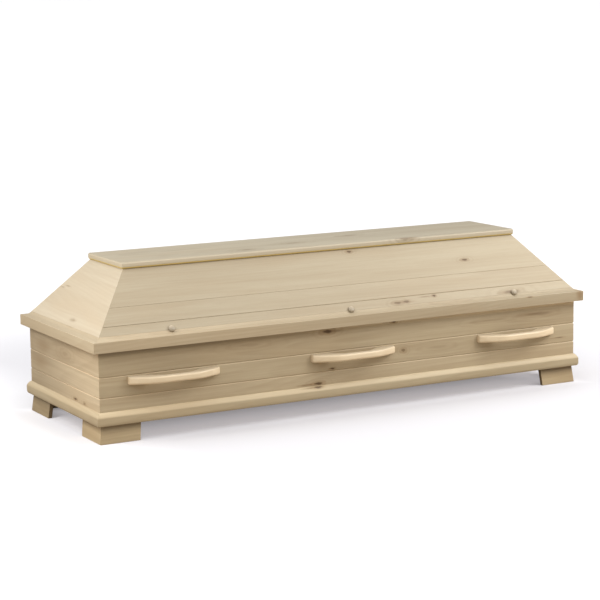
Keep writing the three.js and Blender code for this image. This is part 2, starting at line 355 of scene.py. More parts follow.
class Sketch:
    """A material's nodes, drawn one step at a time."""

    def __init__(self, name: str) -> None:
        """Starts a material with its shader.

        Args:
            name: the material's name.
        """
        self.material = bpy.data.materials.new(name)
        self.material.use_nodes = True
        self.tree = self.material.node_tree
        self.shader = self.tree.nodes["Principled BSDF"]
        self.coordinates = self.tree.nodes.new("ShaderNodeTexCoord").outputs["Object"]

    def join(self, source: Socket | float | Point, target: Socket) -> None:
        """Links a socket to another, or sets a plain value on it.

        Args:
            source: the socket or the value.
            target: the socket that takes it.
        """
        if isinstance(source, Socket):
            self.tree.links.new(source, target)
        else:
            target.default_value = source

    def mapped(self, vector: Socket, move: Point = (0, 0, 0), turn: Point = (0, 0, 0),
               scale: Point = (1, 1, 1), inverse: bool = False) -> Socket:
        """Moves, turns and scales coordinates.

        Args:
            vector: the coordinates.
            move: the shift.
            turn: the turn about each axis.
            scale: the scale along each axis.
            inverse: True to centre the coordinates on move and divide them by scale.

        Returns:
            The new coordinates.
        """
        node = self.tree.nodes.new("ShaderNodeMapping")
        node.vector_type = "TEXTURE" if inverse else "POINT"
        node.inputs["Location"].default_value = move
        node.inputs["Rotation"].default_value = turn
        node.inputs["Scale"].default_value = scale
        self.join(vector, node.inputs["Vector"])
        return node.outputs["Vector"]

    def noise(self, vector: Socket, scale: float, detail: float = 2.0,
              roughness: float = 0.5) -> Socket:
        """A cloud of soft noise, from 0 to 1.

        Args:
            vector: the coordinates.
            scale: how many clouds a unit holds.
            detail: how many finer layers it has.
            roughness: how strong those layers are.

        Returns:
            The noise.
        """
        node = self.tree.nodes.new("ShaderNodeTexNoise")
        node.inputs["Scale"].default_value = scale
        node.inputs["Detail"].default_value = detail
        node.inputs["Roughness"].default_value = roughness
        self.join(vector, node.inputs["Vector"])
        return node.outputs["Fac"]

    def streaks(self, vector: Socket, streak: Streak) -> Socket:
        """Noise drawn out along X, from 0 to 1."""
        drawn = self.mapped(vector, scale=(streak.along, streak.across, streak.across))
        return self.noise(drawn, 1.0, streak.detail, streak.roughness)

    def math(self, operation: str, first: Socket | float,
             second: Socket | float = 0.0) -> Socket:
        """One sum on two numbers.

        Args:
            operation: Blender's name of the sum.
            first: the first number.
            second: the second number.

        Returns:
            The result.
        """
        node = self.tree.nodes.new("ShaderNodeMath")
        node.operation = operation
        self.join(first, node.inputs[0])
        self.join(second, node.inputs[1])
        return node.outputs[0]

    def vector(self, operation: str, first: Socket | Point,
               second: Socket | Point | None = None,
               scale: Socket | float | None = None) -> Socket:
        """One sum on vectors.

        Args:
            operation: Blender's name of the sum.
            first: the first vector.
            second: the second vector, where the sum has one.
            scale: the number of a SCALE sum.

        Returns:
            The result, a number for LENGTH and DOT_PRODUCT.
        """
        node = self.tree.nodes.new("ShaderNodeVectorMath")
        node.operation = operation
        self.join(first, node.inputs[0])
        if second is not None:
            self.join(second, node.inputs[1])
        if scale is not None:
            self.join(scale, node.inputs["Scale"])
        return node.outputs["Value" if operation in ("LENGTH", "DOT_PRODUCT") else "Vector"]

    def part(self, vector: Socket, axis: Point) -> Socket:
        """How much of a vector lies along an axis."""
        return self.vector("DOT_PRODUCT", vector, axis)

    def normal(self) -> Socket:
        """The way that a face looks, in the frame's axes."""
        return self.tree.nodes.new("ShaderNodeNewGeometry").outputs["Normal"]

    def ramp(self, value: Socket, low: float, high: float,
             start: float = 0.0, end: float = 1.0) -> Socket:
        """A smooth step of a value: start below low, end above high.

        Args:
            value: the value.
            low: where the step begins.
            high: where it ends.
            start: the result before it.
            end: the result after it.

        Returns:
            The result.
        """
        node = self.tree.nodes.new("ShaderNodeMapRange")
        node.interpolation_type = "SMOOTHSTEP"
        self.join(value, node.inputs["Value"])
        node.inputs["From Min"].default_value = low
        node.inputs["From Max"].default_value = high
        node.inputs["To Min"].default_value = start
        node.inputs["To Max"].default_value = end
        return node.outputs["Result"]

    def mix(self, share: Socket | float, first: Socket | Colour,
            second: Socket | Colour, blend: str = "MIX") -> Socket:
        """Two colours mixed by a share.

        Args:
            share: 0 for the first colour, 1 for the second.
            first: the first colour.
            second: the second colour.
            blend: Blender's name of the way to mix.

        Returns:
            The mixed colour.
        """
        node = self.tree.nodes.new("ShaderNodeMix")
        node.data_type = "RGBA"
        node.blend_type = blend
        self.join(share, node.inputs["Factor"])
        for source, target in ((first, "A"), (second, "B")):
            socket = next(s for s in node.inputs if s.name == target and s.type == "RGBA")
            self.join(source if isinstance(source, Socket) else (*source, 1.0), socket)
        return next(s for s in node.outputs if s.type == "RGBA")

    def lit(self, wood: Socket, low: float, high: float, factor: float) -> Socket:
        """Painted light and shade: a colour times a factor where a face looks up, lighter above 1, darker
        below.

        Args:
            wood: the colour.
            low: the height of the normal where the factor begins to count.
            high: the height where it counts in full.
            factor: the factor.

        Returns:
            The new colour.
        """
        height = self.part(self.normal(), Z_AXIS)
        return self.mix(1.0, wood, self.ramp(height, low, high, 1.0, factor), "MULTIPLY")

    def relief(self, height: Socket, strength: float, distance: float) -> None:
        """Gives the shader a fine relief.

        Args:
            height: the relief, from 0 to 1.
            strength: how much of it shows.
            distance: its depth in metres.
        """
        bump = self.tree.nodes.new("ShaderNodeBump")
        bump.inputs["Strength"].default_value = strength
        bump.inputs["Distance"].default_value = distance
        self.join(height, bump.inputs["Height"])
        self.join(bump.outputs["Normal"], self.shader.inputs["Normal"])


Knots = tuple[Knot, ...]
CourseKnots = dict[Course, Knots]

# Pine: its noises, and where its seed moves them.
STREAKS = (Streak(0.9, 17, weight=0.45), Streak(1.7, 62, weight=0.3), Streak(3.2, 210, weight=0.25))
FIBRE = Streak(18, 1100, detail=1.0)
PATCH = Streak(2.4, 9, detail=1.0, roughness=0.4)
WANDER = Streak(1.1, 6, detail=1.0)
SEED_STEPS = (3.7, 1.9, 2.3)

# Pine: each STEP holds the low and high of a ramp, and its results where they are fixed; each SHADE is a
# factor on the mean colour and a warmth; RELIEF is a strength and a depth.
EARLY_WOOD = (0.1, 0.8)
LATE_WOOD = (0.85, 1.0, 1.0, 0.0)
RING_WANDER = 0.07
STREAK_STEP = (0.3, 0.7)
ROUGH_STEP = (0.2, 0.8)
ROUGH_SPREAD = 0.05
FIGURE_STEP = (0.35, 0.6, 0.25, 1.0)
BLUSH_STEP = (0.5, 0.75, 0.0)
FIBRE_STEP = (0.5, 0.75, 0.0, 0.25)
DARK_WARMTH = 0.1
BLUSH_SHADE = (0.98, 0.14)
FIBRE_SHADE = (0.82, 0.12)
PINE_RELIEF = (0.2, 0.12 * MM)
PINE_SPECULAR = 0.35

# Pine: where a face counts as underside, edge or end grain, by its normal; the edge and underside take
# painted light.
UNDER_STEP = (-0.15, -0.5)
EDGE_STEP = (0.9, 0.5)
END_STEP = (0.8, 0.92, 0.0, 0.8)
END_WARMTH = 0.22

# Knots: how wavy they are, the steps of their spread, and the shade of each mark.
KNOT_WAVES = 1.1
KNOT_WOBBLE = 0.9
KNOT_PULL = (0.2, 4.5)
KNOT_HEART = (0.35, 1.0)
KNOT_HOLE = (0.2, 0.7)
KNOT_HALO = (0.6, 1.9)
HALO_SHARE = 0.55
SWIRL_RATE = 5.5
SWIRL_LINE = (-0.2, 1.0)
SWIRL_REACH = (1.0, 4.5)
TAIL_WIDTH = 0.8
TAIL_WOBBLE = 0.6
TAIL_STEP = (0.3, 1.35)
HEART_COLOUR = (0.105, 0.062, 0.030)
HALO_SHADE = (0.6, 0.5)
SWIRL_SHADE = (0.66, 0.25)
TAIL_SHADE = (0.5, 0.45)


@dataclass(frozen=True)
class Pine:
    """Planed pine: its mean colour, streaks along the grain, growth rings and knots.

    upward holds the low and high height of a normal, and the factor on the colour of faces that look up:
    a painted highlight above 1, painted shade below 1. fade holds the factors at the two ends of the grain,
    and how far from the middle those ends are: light and shade painted along the board. band holds the
    heights between which the wood changes upwards, and the factors at the higher one, at the two ends of the
    grain: painted shadow where a factor is below 1, painted light where it is above. end_factor is the
    factor on end grain. A board with an edge colour takes it on its level faces as painted light, and the
    colour of under on its underside as painted warm bounce light.
    """

    name: str
    tone: Colour
    seed: float = 0.0
    grain: Grain = Grain.ALONG_X
    contrast: float = 0.17
    rings: float = 0.3
    ring_width: float = 9 * MM
    pith: tuple[float, float] = (0.0, 0.0)
    tilt: float = 0.012
    gloss: float = 0.51
    blush: float = 0.5
    upward: tuple[float, float, float] = (0.0, 1.0, 1.0)
    fade: tuple[float, float, float] = (1.0, 1.0, 1.0)
    band: tuple[float, float, float, float] = (0.0, 1.0, 1.0, 1.0)
    end_factor: float = 0.8
    edge: Colour | None = None
    under: Colour | None = None
    knots: Knots = ()

    def turned(self, point: Point) -> Vector:
        """A point of the frame in the grain's own axes."""
        return Matrix.Rotation(self.grain.value, 3, "Z") @ Vector(point)

    def shade(self, factor: float, warmth: float = 0.0) -> Colour:
        """The mean colour made lighter or darker, and warmer by taking green and blue out of it."""
        red, green, blue = self.tone
        return (red * factor, green * factor * (1 - warmth / 2), blue * factor * (1 - warmth))

    def material(self) -> Material:
        """Draws the material.

        The colour is a share between a light and a dark wood. The share adds broad, middle and fine
        streaks, which are noise drawn out along the grain, and growth rings. Near a knot the coordinates
        are squeezed towards it, so that the grain runs round it.

        Returns:
            The material.
        """
        s = Sketch(self.name)
        place = s.mapped(s.coordinates, turn=(0, 0, self.grain.value))
        bent, marks = self.draw_knots(s, place)
        moved = [self.seed * step for step in SEED_STEPS]
        along = s.mapped(bent, move=moved, turn=(0, self.tilt, self.tilt))
        streaks = [s.streaks(along, kind) for kind in STREAKS]
        fibre, patch = s.streaks(along, FIBRE), s.streaks(along, PATCH)
        figure = s.math("MULTIPLY", self.draw_rings(s, bent), s.ramp(patch, *FIGURE_STEP))
        share = s.math("MULTIPLY", figure, self.rings)
        for streak, kind in zip(streaks, STREAKS):
            share = s.math("ADD", share, s.math("MULTIPLY", s.ramp(streak, *STREAK_STEP), kind.weight))
        wood = s.mix(share, self.shade(1 + self.contrast), self.shade(1 - self.contrast, DARK_WARMTH))
        wood = s.mix(s.ramp(patch, *BLUSH_STEP, self.blush), wood, self.shade(*BLUSH_SHADE))
        wood = s.mix(s.ramp(fibre, *FIBRE_STEP), wood, self.shade(*FIBRE_SHADE))
        # Painted light and shade: faces that look up, the edge and underside colours, and the changes along
        # the grain and under the rim.
        wood = s.lit(self.draw_faces(s, wood), *self.upward)
        wood = self.drift(s, place, wood)
        for mark, colour in marks:
            wood = s.mix(mark, wood, colour)
        s.join(wood, s.shader.inputs["Base Color"])
        rough = s.ramp(streaks[-1], *ROUGH_STEP, self.gloss + ROUGH_SPREAD, self.gloss - ROUGH_SPREAD)
        s.join(rough, s.shader.inputs["Roughness"])
        s.shader.inputs["Specular IOR Level"].default_value = PINE_SPECULAR
        s.relief(s.math("MULTIPLY", s.math("ADD", fibre, figure), 0.5), *PINE_RELIEF)
        return s.material

    def drift(self, s: Sketch, place: Socket, wood: Socket) -> Socket:
        """Paints light and shade: changes the wood slowly along the grain, by fade, and in a strip that it
        reaches upwards, by band: painted shadow where a factor is below 1, painted light where it is above.

        Args:
            s: the material being drawn.
            place: coordinates with the grain along X.
            wood: the colour.

        Returns:
            The new colour.
        """
        start, end, reach = self.fade
        low, high, band_start, band_end = self.band
        along = s.part(place, X_AXIS)
        wood = s.mix(1.0, wood, s.ramp(along, -reach, reach, start, end), "MULTIPLY")
        banded = s.mix(1.0, wood, s.ramp(along, -reach, reach, band_start, band_end), "MULTIPLY")
        return s.mix(s.ramp(s.part(place, Z_AXIS), low, high), wood, banded)

    def draw_rings(self, s: Sketch, place: Socket) -> Socket:
        """Growth rings: the distance from the pith, bent by slow noise, in steps that darken to a late line.

        Args:
            s: the material being drawn.
            place: coordinates with the grain along X.

        Returns:
            The rings, from 0 in early wood to 1 in late wood.
        """
        wander = s.streaks(s.mapped(place, move=(self.seed / WANDER.along, 0, 0)), WANDER)
        leaned = s.mapped(place, move=(0, -self.pith[0], -self.pith[1]), turn=(0, self.tilt, self.tilt * 2))
        spread = s.vector("LENGTH", s.vector("MULTIPLY", leaned, (0, 1, 1)))
        spread = s.math("ADD", spread, s.math("MULTIPLY", wander, RING_WANDER))
        step = s.math("FRACT", s.math("DIVIDE", spread, self.ring_width))
        return s.math("MULTIPLY", s.ramp(step, *EARLY_WOOD), s.ramp(step, *LATE_WOOD))

    def draw_faces(self, s: Sketch, wood: Socket) -> Socket:
        """Changes the wood by the way that a face looks: end grain, and painted light on a board's edge and
        underside.

        End grain shows where the normal lies nearly along the grain, the edge's painted light where it is
        nearly level, and the underside's painted warm bounce light where it points down.

        Args:
            s: the material being drawn.
            wood: the colour of a face along the grain.

        Returns:
            The colour of any face.
        """
        normal = s.normal()
        if self.edge is not None:
            height = s.part(normal, Z_AXIS)
            edged = s.mix(s.ramp(height, *EDGE_STEP), wood, self.edge)
            return s.mix(s.ramp(height, *UNDER_STEP), edged, self.under)
        axis = X_AXIS if self.grain is Grain.ALONG_X else Y_AXIS
        facing = s.math("ABSOLUTE", s.part(normal, axis))
        return s.mix(s.ramp(facing, *END_STEP), wood, self.shade(self.end_factor, END_WARMTH))

    def draw_knots(self, s: Sketch, place: Socket
                   ) -> tuple[Socket, list[tuple[Socket, Colour]]]:
        """The knots of a board, and the grain bent round them.

        A knot's spread is the distance from its middle in its own half sizes, made wavy by noise. The
        heart, the halo, the lines round it and the bend of the grain are all steps of that spread.

        Args:
            s: the material being drawn.
            place: coordinates with the grain along X.

        Returns:
            The bent coordinates, and pairs of a share and the colour that it brings in.
        """
        marks = []
        bent = place
        for knot in self.knots:
            middle = self.turned(knot.centre) * MM
            along, across = knot.along * MM, knot.across * MM
            offset = s.mapped(place, move=middle, inverse=True)
            local = s.mapped(place, move=middle, scale=(along, across, across), inverse=True)
            wavy = s.math("MULTIPLY", s.noise(local, KNOT_WAVES, 1.0), KNOT_WOBBLE)
            spread = s.math("ADD", s.vector("LENGTH", local), s.math("SUBTRACT", wavy, KNOT_WOBBLE / 2))
            pull = s.ramp(spread, *KNOT_PULL, knot.bulge, 0.0)
            squeeze = s.vector("SCALE", s.vector("MULTIPLY", offset, (0, 1, 1)), scale=pull)
            bent = s.vector("SUBTRACT", bent, squeeze)
            if knot.swirl > 0:
                wave = s.ramp(s.math("SINE", s.math("MULTIPLY", spread, SWIRL_RATE)), *SWIRL_LINE)
                wave = s.math("MULTIPLY", wave, s.ramp(spread, *SWIRL_REACH, knot.swirl, 0.0))
                marks.append((wave, self.shade(*SWIRL_SHADE)))
            if knot.tail:
                tail = knot.tail * MM
                size = ((abs(tail) + along) / 2, across * TAIL_WIDTH, across * TAIL_WIDTH)
                stain = s.mapped(place, move=middle + Vector((tail / 2, 0, 0)), scale=size, inverse=True)
                stain = s.math("ADD", s.vector("LENGTH", stain), s.math("MULTIPLY", wavy, TAIL_WOBBLE))
                marks.append((s.ramp(stain, *TAIL_STEP, knot.tail_dark, 0.0), self.shade(*TAIL_SHADE)))
            marks.append((s.ramp(spread, *KNOT_HALO, knot.dark * HALO_SHARE, 0.0), self.shade(*HALO_SHADE)))
            heart = s.ramp(spread, *KNOT_HEART, knot.dark, 0.0)
            if knot.ring > 0:
                heart = s.math("MULTIPLY", heart, s.ramp(spread, *KNOT_HOLE, 1 - knot.ring, 1.0))
            marks.append((heart, HEART_COLOUR))
        return bent, marks


# Beech: its lean against the frame, its noises, and how they show.
BEECH_LEAN = (0, 0.015, 0.02)
BEECH_STREAK = Streak(4, 70, detail=3.0)
BEECH_FLECK = Streak(60, 900, detail=1.0)
FLECK_STEP = (0.62, 0.75, 0.0, 0.25)
FLECK_FACTOR = 0.7
STREAK_SHOW = (0.0, 0.7)
# Beech: the heights of a normal over which the painted light and shade of the tops comes in.
PAINTED_TOP_LIGHT_STEP = (0.4, 0.95)
BEECH_SPECULAR = 0.45
BEECH_RELIEF = (0.15, 0.1 * MM)


@dataclass(frozen=True)
class Beech:
    """Sanded pale beech: nearly even, with faint streaks and short dark flecks along the grain.

    top_factor is the factor on the colour of faces that look up: painted shade below 1, painted light above
    1.
    """

    name: str
    light: Colour
    dark: Colour
    seed: float = 0.0
    gloss: float = 0.42
    top_factor: float = 0.7

    def material(self) -> Material:
        """Draws the material: noise drawn out along X for the streaks, and a finer one for the flecks.

        Returns:
            The material.
        """
        s = Sketch(self.name)
        place = s.mapped(s.coordinates, move=(self.seed, self.seed * 0.7, 0), turn=BEECH_LEAN)
        streak, fleck = s.streaks(place, BEECH_STREAK), s.streaks(place, BEECH_FLECK)
        wood = s.mix(s.ramp(streak, *STREAK_STEP, *STREAK_SHOW), self.light, self.dark)
        wood = s.mix(s.ramp(fleck, *FLECK_STEP), wood, tuple(c * FLECK_FACTOR for c in self.dark))
        # Painted light and shade on the tops of the grips and buttons.
        s.join(s.lit(wood, *PAINTED_TOP_LIGHT_STEP, self.top_factor), s.shader.inputs["Base Color"])
        rough = s.ramp(streak, *ROUGH_STEP, self.gloss + ROUGH_SPREAD, self.gloss - ROUGH_SPREAD)
        s.join(rough, s.shader.inputs["Roughness"])
        s.shader.inputs["Specular IOR Level"].default_value = BEECH_SPECULAR
        s.relief(fleck, *BEECH_RELIEF)
        return s.material


@dataclass
class Walls:
    """The box: three courses of grooved boards on each side, mitred at the corners, and the floor."""

    plan: Plan
    chamfer: float = 2.4 * MM
    shoulder: tuple[float, float] = (3 * MM, 3.6 * MM)
    steps: int = 5
    slot: str = "wall_pine"

    def section(self, course: Course) -> np.ndarray:
        """One board's section: a small chamfer under its lower joint, a rounded shoulder at its upper one.

        Args:
            course: the board's course.

        Returns:
            The section's points, as inset and height.
        """
        plan = self.plan
        low_joint, high_joint = plan.joints
        low, high = {
            Course.LOWER: (plan.foot_height, low_joint),
            Course.MIDDLE: (low_joint, high_joint),
            Course.UPPER: (high_joint, plan.rim_low),
        }[course]
        face, inner = plan.wall_inset, plan.wall_inner
        deep, tall = self.shoulder
        below = [(face + self.chamfer, low), (face, low + self.chamfer)]
        above = arc((face + deep, high - tall), (deep, tall), 180, 90, self.steps)
        return np.vstack([
            [(face, low)] if course is Course.LOWER else below,
            [(face, high)] if course is Course.UPPER else above,
            [(inner, high), (inner, low)],
        ])

    def build(self, finishes: dict[tuple[Side, Course], Material],
              floor_finish: Material) -> None:
        """Builds the twelve boards and finishes the floor.

        Args:
            finishes: the pine of each board.
            floor_finish: the pine of the floor panel.
        """
        for side in Side:
            for course in Course:
                piece = self.plan.rail(f"{side.word}_{course.value}_board", side, self.section(course))
                node = f"{side.word}_wall_{course.value}_board"
                stand_for(piece, node, finishes[side, course])
        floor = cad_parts["floor_panel"]
        floor.data.materials.clear()
        floor.data.materials.append(floor_finish)


@dataclass
class BaseMoulding:
    """The moulding round the foot of the walls: a rounded shoulder, an upright face and a tucked edge."""

    plan: Plan
    proud: float = 14.5 * MM
    height: float = 47 * MM
    shoulder: float = 19 * MM
    fullness: float = 1.4
    tuck: float = 5 * MM
    tuck_height: float = 13 * MM
    steps: int = 16
    slot: str = "moulding_pine"

    def section(self) -> np.ndarray:
        """The moulding's section, as inset and height.

        The shoulder is a quarter of a rounded lozenge: out is the width times cos a, and up is the height
        times sin a, each to the power of 2 over the fullness (2 would be an ellipse, 1 a straight slope).
        The upright face and a quarter ellipse follow.

        Returns:
            The section's points.
        """
        wall, low = self.plan.wall_inset, self.plan.foot_height
        face = wall - self.proud
        top = low + self.height
        quarter = arc((0, 0), (1, 1), 90, 0, self.steps).clip(0, 1) ** (2 / self.fullness)
        shoulder = np.array([wall, top - self.shoulder]) + quarter * [-self.proud, self.shoulder]
        radii = (self.tuck, self.tuck_height)
        tuck = arc((face + self.tuck, low + self.tuck_height), radii, 180, 270, self.steps)
        return np.vstack([shoulder, tuck, [(wall, low)]])

    def build(self, finishes: dict[Side, Material]) -> None:
        """Builds the four rails.

        Args:
            finishes: the pine of each rail.
        """
        for side in Side:
            piece = self.plan.rail(f"{side.word}_moulding", side, self.section())
            stand_for(piece, f"{side.word}_base_moulding", finishes[side])


@dataclass
class Feet:
    """Four corner feet, each of two mitred boards that lean out towards the ground."""

    plan: Plan
    splay: float = 7.5 * MM
    thickness: float = 15 * MM
    side_length: float = 150 * MM
    end_length: float = 165 * MM
    end_slant: float = 7 * MM
    top_inset: float = 31 * MM
    arris: float = 1.2 * MM
    arris_faces: int = 3
    slot: str = "foot_pine"

    def board(self, side: Side, end: Side, along_x: bool) -> np.ndarray:
        """One foot board: its section at the mitred corner, and the same section at its slanted inner end.

        Args:
            side: the long side that the foot is at.
            end: the end that it is at.
            along_x: True for the board along the long side.

        Returns:
            Two rings of four points.
        """
        plan = self.plan
        low = self.top_inset - self.splay
        inset = np.array([self.top_inset, low, low + self.thickness, self.top_inset + self.thickness])
        height = np.array([plan.foot_height, 0.0, 0.0, plan.foot_height])
        half = plan.half_length if along_x else plan.half_width
        length = self.side_length if along_x else self.end_length
        inner = half - low - length - self.end_slant * height / plan.foot_height
        x_corner = plan.half_length - inset
        y_corner = plan.half_width - inset
        x_inner, y_inner = (inner, y_corner) if along_x else (x_corner, inner)
        corner = np.stack([end.sign * x_corner, side.sign * y_corner, height], axis=1)
        tip = np.stack([end.sign * x_inner, side.sign * y_inner, height], axis=1)
        return np.stack([corner, tip])

    def build(self, finishes: dict[Grain, Material]) -> None:
        """Builds the eight boards.

        Args:
            finishes: the pine of the boards along each axis.
        """
        for side in LONG_SIDES:
            for end in END_SIDES:
                for kind, grain in (("side", Grain.ALONG_X), ("end", Grain.ALONG_Y)):
                    name = f"{side.word}_{end.word}_foot_{kind}"
                    piece = tube(name, self.board(side, end, grain is Grain.ALONG_X))
                    soften(piece, self.arris, self.arris_faces)
                    stand_for(piece, f"{name}_board", finishes[grain])


@dataclass
class Lid:
    """The hipped lid: a coved rim, sloping boards, plain end panels and a flat board on top."""

    plan: Plan
    edge_round: float = 2 * MM
    edge_steps: int = 6
    flat: float = 11.5 * MM
    cove_foot: float = 32.5 * MM
    cove_start: float = 8.0
    cove_steps: int = 20
    run_per_rise: float = 0.843
    thickness: float = 18 * MM
    joint_chamfer: float = 1.7 * MM
    groove_chamfer: float = 0.9 * MM
    top_overhang: tuple[float, float] = (9 * MM, 8 * MM)
    top_round: float = 7 * MM
    top_under_round: tuple[float, float] = (6 * MM, 9 * MM)
    top_corner: float = 9 * MM
    top_steps: tuple[int, int] = (10, 12)
    corner_points: int = 7
    rim_arris: float = 0.6 * MM
    slope_arris: float = 0.3 * MM
    rim_slot: str = "rim_pine"
    slope_slot: str = "lid_pine"
    top_slot: str = "top_pine"

    @property
    def slope_up(self) -> np.ndarray:
        """The way up the slope, as inset and height."""
        return np.array([self.run_per_rise, 1.0]) / math.hypot(self.run_per_rise, 1.0)

    @property
    def slope_out(self) -> np.ndarray:
        """The way out of the slope, as inset and height."""
        return np.array([-self.slope_up[1], self.slope_up[0]])

    def on_slope(self, height: float, depth: float = 0.0, along: float = 0.0) -> np.ndarray:
        """A point of the slope at a height, sunk in by a depth and moved up along it.

        Args:
            height: the height of the slope's outer face there.
            depth: how far in the point lies, square to the slope.
            along: how far up the slope it is moved.

        Returns:
            Its inset and height.
        """
        inset = self.cove_foot + (height - self.plan.crease) * self.run_per_rise
        return np.array([inset, height]) - depth * self.slope_out + along * self.slope_up

    def cove(self) -> np.ndarray:
        """The cove: one arc from the rim's flat, where it starts at a shallow angle, up to the crease.

        The arc's radius is its chord over twice the sine of half its turn. At a turn a its inset is the
        flat + radius * (sin a - sin start), and its height the flat's + radius * (cos start - cos a).

        Returns:
            Its points, as inset and height.
        """
        rise, run = self.plan.crease - self.plan.rim_top, self.cove_foot - self.flat
        start = math.radians(self.cove_start)
        half_turn = math.atan2(rise, run) - start
        radius = math.hypot(rise, run) / (2 * math.sin(half_turn))
        turned = start + 2 * half_turn * np.linspace(0, 1, self.cove_steps + 1)
        inset = self.flat + radius * (np.sin(turned) - math.sin(start))
        height = self.plan.rim_top + radius * (math.cos(start) - np.cos(turned))
        return np.stack([inset, height], axis=1)

    def rim_section(self) -> np.ndarray:
        """The rim's section: upright face, rounded edge, flat, cove, and the seat of the lowest panel.

        Returns:
            The section's points, as inset and height.
        """
        low, top, r = self.plan.rim_low, self.plan.rim_top, self.edge_round
        edge = arc((r, top - r), (r, r), 180, 90, self.edge_steps)
        seat = self.on_slope(self.plan.crease, self.thickness)
        return np.vstack([[(0.0, low)], edge, self.cove(), seat, (seat[0], low)])

    def panel_section(self, low: float, high: float, below: float, above: float) -> np.ndarray:
        """The section of a panel between two heights of the slope, chamfered where it meets another.

        Args:
            low: the height of its lower edge.
            high: the height of its upper edge.
            below: the chamfer of its lower edge.
            above: the chamfer of its upper edge.

        Returns:
            The section's corners.
        """
        t, slope = self.thickness, self.on_slope
        foot = [slope(low, below), slope(low, 0, below)] if below else [slope(low)]
        head = [slope(high, 0, -above), slope(high, above)] if above else [slope(high)]
        level_cut = [t * math.hypot(self.run_per_rise, 1.0), 0]
        inner = slope(high) + level_cut if high == self.plan.slope_top else slope(high, t)
        return np.vstack([*foot, *head, inner, slope(low, t)])

    def build_rims(self, finishes: dict[Side, Material]) -> None:
        """Builds the four rails of the rim.

        Args:
            finishes: the pine of each rail.
        """
        for side in Side:
            piece = self.plan.rail(f"{side.word}_rim", side, self.rim_section(), self.rim_arris)
            stand_for(piece, f"{side.word}_lid_rim", finishes[side])

    def build_slopes(self, finishes: dict[tuple[Side, Course], Material]) -> None:
        """Builds three boards on each long slope and one panel on each end slope.

        Args:
            finishes: the pine of each board; an end panel's is under its middle course.
        """
        plan = self.plan
        joint, groove = self.joint_chamfer, self.groove_chamfer
        heights = {
            Course.LOWER: (plan.crease, plan.slope_joints[0], 0, joint),
            Course.MIDDLE: (*plan.slope_joints, joint, groove),
            Course.UPPER: (plan.slope_joints[1], plan.slope_top, groove, 0),
        }
        whole = {Course.MIDDLE: (plan.crease, plan.slope_top, 0, 0)}
        for side in Side:
            for course, sizes in (heights if side.long else whole).items():
                node = f"{side.word}_lid_{course.value}_board" if side.long else f"{side.word}_lid_end_panel"
                name = f"{side.word}_slope_{course.value}"
                piece = plan.rail(name, side, self.panel_section(*sizes), self.slope_arris)
                stand_for(piece, node, finishes[side, course])

    def build_top(self, finish: Material) -> None:
        """Builds the top board: a rounded edge carried round a rectangle with small round corners.

        At an inset d the plan is the board's rectangle drawn in by d, its corners round by the corner
        radius less d. The edge's two quarter circles give d and the height of each ring.

        Args:
            finish: its pine.
        """
        plan = self.plan
        slope_inset = self.on_slope(plan.slope_top)[0]
        half_x = plan.half_length - slope_inset + self.top_overhang[0] - self.top_corner
        half_y = plan.half_width - slope_inset + self.top_overhang[1] - self.top_corner
        r, (q, rise) = self.top_round, self.top_under_round
        low = arc((q, plan.slope_top + rise), (q, rise), 270, 180, self.top_steps[0])
        high = arc((r, plan.total - r), (r, r), 180, 90, self.top_steps[1])
        profile = np.vstack([low, high])
        angle = np.radians(np.linspace(0, 90, self.corner_points))
        quarter = np.concatenate([angle + k * math.pi / 2 for k in range(4)])
        x_side = np.repeat([1, -1, -1, 1], len(angle))
        y_side = np.repeat([1, 1, -1, -1], len(angle))
        inset, height = profile[:, :1], profile[:, 1:]
        corner = self.top_corner - inset
        x = x_side * half_x + corner * np.cos(quarter)
        y = y_side * half_y + corner * np.sin(quarter)
        grid = np.stack([x, y, np.broadcast_to(height, x.shape)], axis=2)
        piece = tube("top_board", grid)
        stand_for(piece, "lid_top_board", finish)


